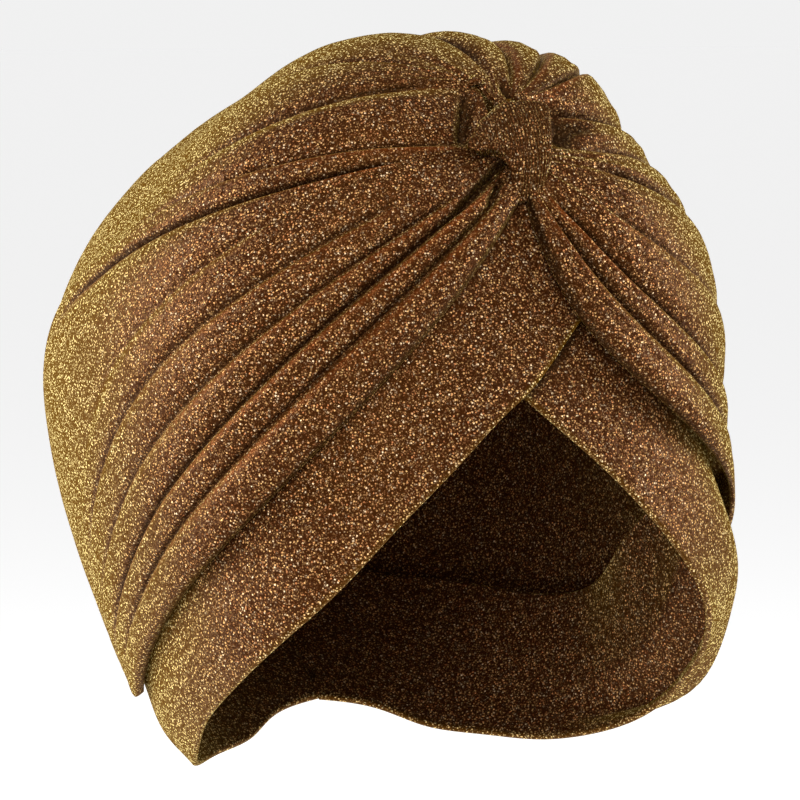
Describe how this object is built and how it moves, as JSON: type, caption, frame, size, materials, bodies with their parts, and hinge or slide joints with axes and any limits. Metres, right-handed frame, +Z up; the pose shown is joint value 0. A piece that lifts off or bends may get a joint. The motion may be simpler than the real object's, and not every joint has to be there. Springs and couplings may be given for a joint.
{
  "type": "turban hat",
  "caption": "Pull-on turban in sparkling knit: fan-pleated crown gathered at a knot tab, over two straps crossed above the forehead.",
  "frame": {"origin": "centre of the head opening, at the height of the lowest edge of the straps, where the hat sits on a head", "axes": "+Z up, the face towards -Y, the wearer's left towards +X"},
  "size_m": [0.1847, 0.2187, 0.2151],
  "materials": {
    "crown_cloth": "bronze metallic-thread knit",
    "band_over_cloth": "bronze metallic-thread knit",
    "band_under_cloth": "bronze metallic-thread knit",
    "knot_tab_cloth": "bronze metallic-thread knit"
  },
  "bodies": {
    "root": {"crown": "crown_cloth", "band_over": "band_over_cloth", "band_under": "band_under_cloth", "knot_tab": "knot_tab_cloth"}
  },
  "joints": []
}
